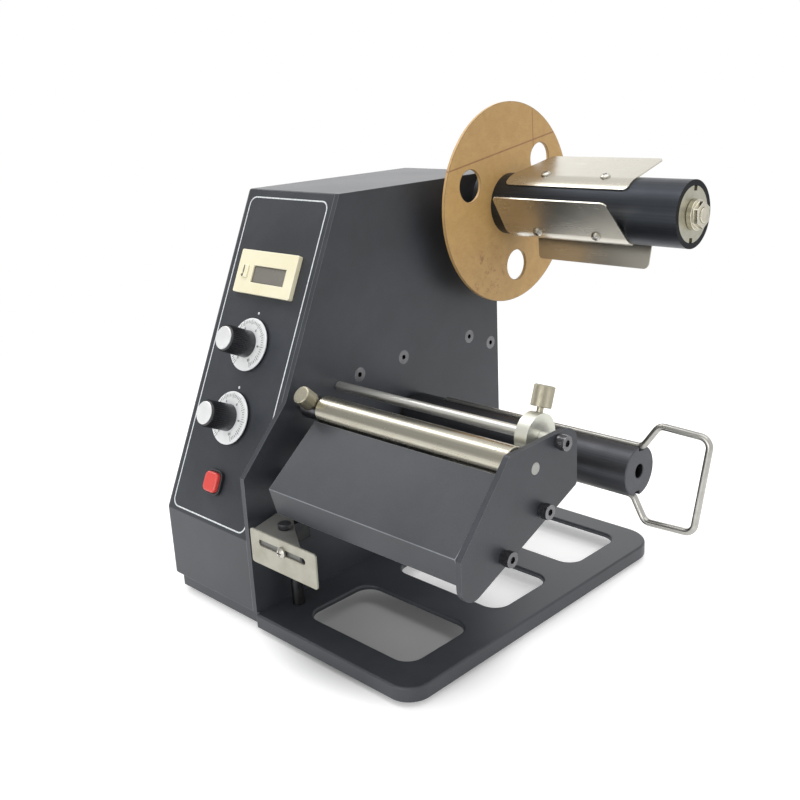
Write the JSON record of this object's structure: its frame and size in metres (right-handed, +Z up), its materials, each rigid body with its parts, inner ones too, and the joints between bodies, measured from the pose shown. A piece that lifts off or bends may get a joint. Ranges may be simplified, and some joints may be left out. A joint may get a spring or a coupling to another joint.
{
  "type": "label dispenser machine",
  "caption": "Desk label dispenser: slanted control cabinet on a windowed base, peel plate with guide rollers, supply spindle with disc, and take-up roller with a wire clip.",
  "frame": {"origin": "middle of the machine's bounding box, on the table under the feet", "axes": "+X to the right along the rollers, +Y from the control panel to the back, +Z up"},
  "size_m": [0.2656, 0.2599, 0.2582],
  "materials": {
    "powder_coated_steel": "fine-textured black powder coat",
    "zinc_plated_steel": "bright zinc plate",
    "blackened_steel": "black oxide",
    "stainless_steel": "brushed",
    "ground_steel_tube": "ground and polished",
    "turned_aluminium": "turned",
    "nickel_plated_steel": "satin nickel, knurled",
    "black_anodised_aluminium": "black anodised",
    "hardboard": "sealed hardboard",
    "beige_abs": "moulded",
    "black_abs": "moulded",
    "red_lens": "translucent red",
    "display_window": "clear over a grey display",
    "rubber": "moulded",
    "sintered_bronze": "sintered, oiled",
    "die_cast_zinc": "die cast",
    "circuit_board": "solder resist",
    "laminated_steel": "varnished laminations"
  },
  "bodies": {
    "frame": {"base_plate": "powder_coated_steel", "main_plate": "powder_coated_steel", "cabinet_cover": "powder_coated_steel", "right_side_plate": "powder_coated_steel", "peel_plate": "powder_coated_steel", "bottom_tray": "zinc_plated_steel", "stay_rods": "zinc_plated_steel", "pan_screws": "zinc_plated_steel", "tie_rods": "zinc_plated_steel", "peel_ribs": "zinc_plated_steel", "spindle_axle": "zinc_plated_steel", "spindle_nut": "zinc_plated_steel", "spindle_block": "zinc_plated_steel", "roller_axle": "zinc_plated_steel", "potentiometers": "zinc_plated_steel", "main_plate_screws": "blackened_steel", "cap_screws": "blackened_steel", "drive_motor": "blackened_steel", "guide_rod": "stainless_steel", "liner_rod": "stainless_steel", "sensor_bracket": "stainless_steel", "sensor_screw": "stainless_steel", "left_collar": "black_anodised_aluminium", "sensor_post": "black_anodised_aluminium", "sensor_clamp": "black_anodised_aluminium", "counter_body": "beige_abs", "lamp_bezel": "black_abs", "power_inlet": "black_abs", "switch_housing": "black_abs", "sensor_eye": "black_abs", "lamp_lens": "red_lens", "counter_window": "display_window", "rubber_feet": "rubber", "take_up_bush": "sintered_bronze", "worm_gearbox": "die_cast_zinc", "control_board": "circuit_board", "transformer_core": "laminated_steel"},
    "supply_spindle": {"disc_hub": "turned_aluminium", "roll_disc": "hardboard", "mandrel_tube": "black_anodised_aluminium", "end_plate": "turned_aluminium", "spindle_bearings": "zinc_plated_steel", "spring_leaves": "stainless_steel", "leaf_screws": "stainless_steel"},
    "take_up": {"take_up_roller": "black_anodised_aluminium", "take_up_shaft": "zinc_plated_steel"},
    "clip": {"wire_clip": "stainless_steel"},
    "roller": {"guide_roller": "ground_steel_tube"},
    "collar_screw": {"collar_thumbscrew": "nickel_plated_steel"},
    "label_guide": {"guide_ring": "turned_aluminium"},
    "label_guide_screw": {"ring_thumbscrew": "nickel_plated_steel"},
    "length_setting": {"length_knob": "black_abs", "length_dial": "turned_aluminium", "length_shaft": "zinc_plated_steel"},
    "speed_setting": {"speed_knob": "black_abs", "speed_dial": "turned_aluminium", "speed_shaft": "zinc_plated_steel"},
    "counter_reset": {"reset_button": "beige_abs"},
    "mains_rocker": {"rocker": "black_abs"},
    "sensor_slide": {"sensor_plate": "stainless_steel"}
  },
  "joints": [
    {"name": "supply_spin", "type": "hinge", "parent": "frame", "child": "supply_spindle", "pos_m": [-0.03965, 0.07245, 0.2007], "axis": [1, 0, 0], "continuous": true},
    {"name": "take_up_spin", "type": "hinge", "parent": "frame", "child": "take_up", "pos_m": [-0.05165, 0.00095, 0.0875], "axis": [1, 0, 0], "continuous": true},
    {"name": "clip_slide", "type": "slide", "parent": "take_up", "child": "clip", "axis": [1, 0, 0], "range_m": [0, 0.11]},
    {"name": "roller_spin", "type": "hinge", "parent": "frame", "child": "roller", "pos_m": [-0.03415, -0.08305, 0.1154], "axis": [1, 0, 0], "continuous": true},
    {"name": "collar_screw_turn", "type": "hinge", "parent": "frame", "child": "collar_screw", "pos_m": [-0.03945, -0.08305, 0.1154], "axis": [0, -0.7314, 0.682], "range_deg": [0, 180]},
    {"name": "label_guide_slide", "type": "slide", "parent": "frame", "child": "label_guide", "axis": [1, 0, 0], "range_m": [-0.1253, 0.006]},
    {"name": "label_guide_screw_turn", "type": "hinge", "parent": "label_guide", "child": "label_guide_screw", "pos_m": [0.07695, -0.05605, 0.118], "axis": [0, 0.342, 0.9397], "range_deg": [0, 180]},
    {"name": "length_turn", "type": "hinge", "parent": "frame", "child": "length_setting", "pos_m": [-0.09245, -0.08255, 0.14056], "axis": [0, -0.9092, 0.4163], "range_deg": [-150, 150]},
    {"name": "speed_turn", "type": "hinge", "parent": "frame", "child": "speed_setting", "pos_m": [-0.09245, -0.09945, 0.10365], "axis": [0, -0.9092, 0.4163], "range_deg": [-150, 150]},
    {"name": "reset_press", "type": "slide", "parent": "frame", "child": "counter_reset", "axis": [0, 0.9092, -0.4163], "range_m": [0, 0.0006], "stiffness_N_per_m": 400},
    {"name": "rocker_tilt", "type": "hinge", "parent": "frame", "child": "mains_rocker", "pos_m": [-0.09245, 0.07845, 0.0725], "axis": [-1, 0, 0], "range_deg": [0, 18]},
    {"name": "sensor_plate_slide", "type": "slide", "parent": "frame", "child": "sensor_slide", "axis": [1, 0, 0], "range_m": [-0.0068, 0.0166]}
  ]
}
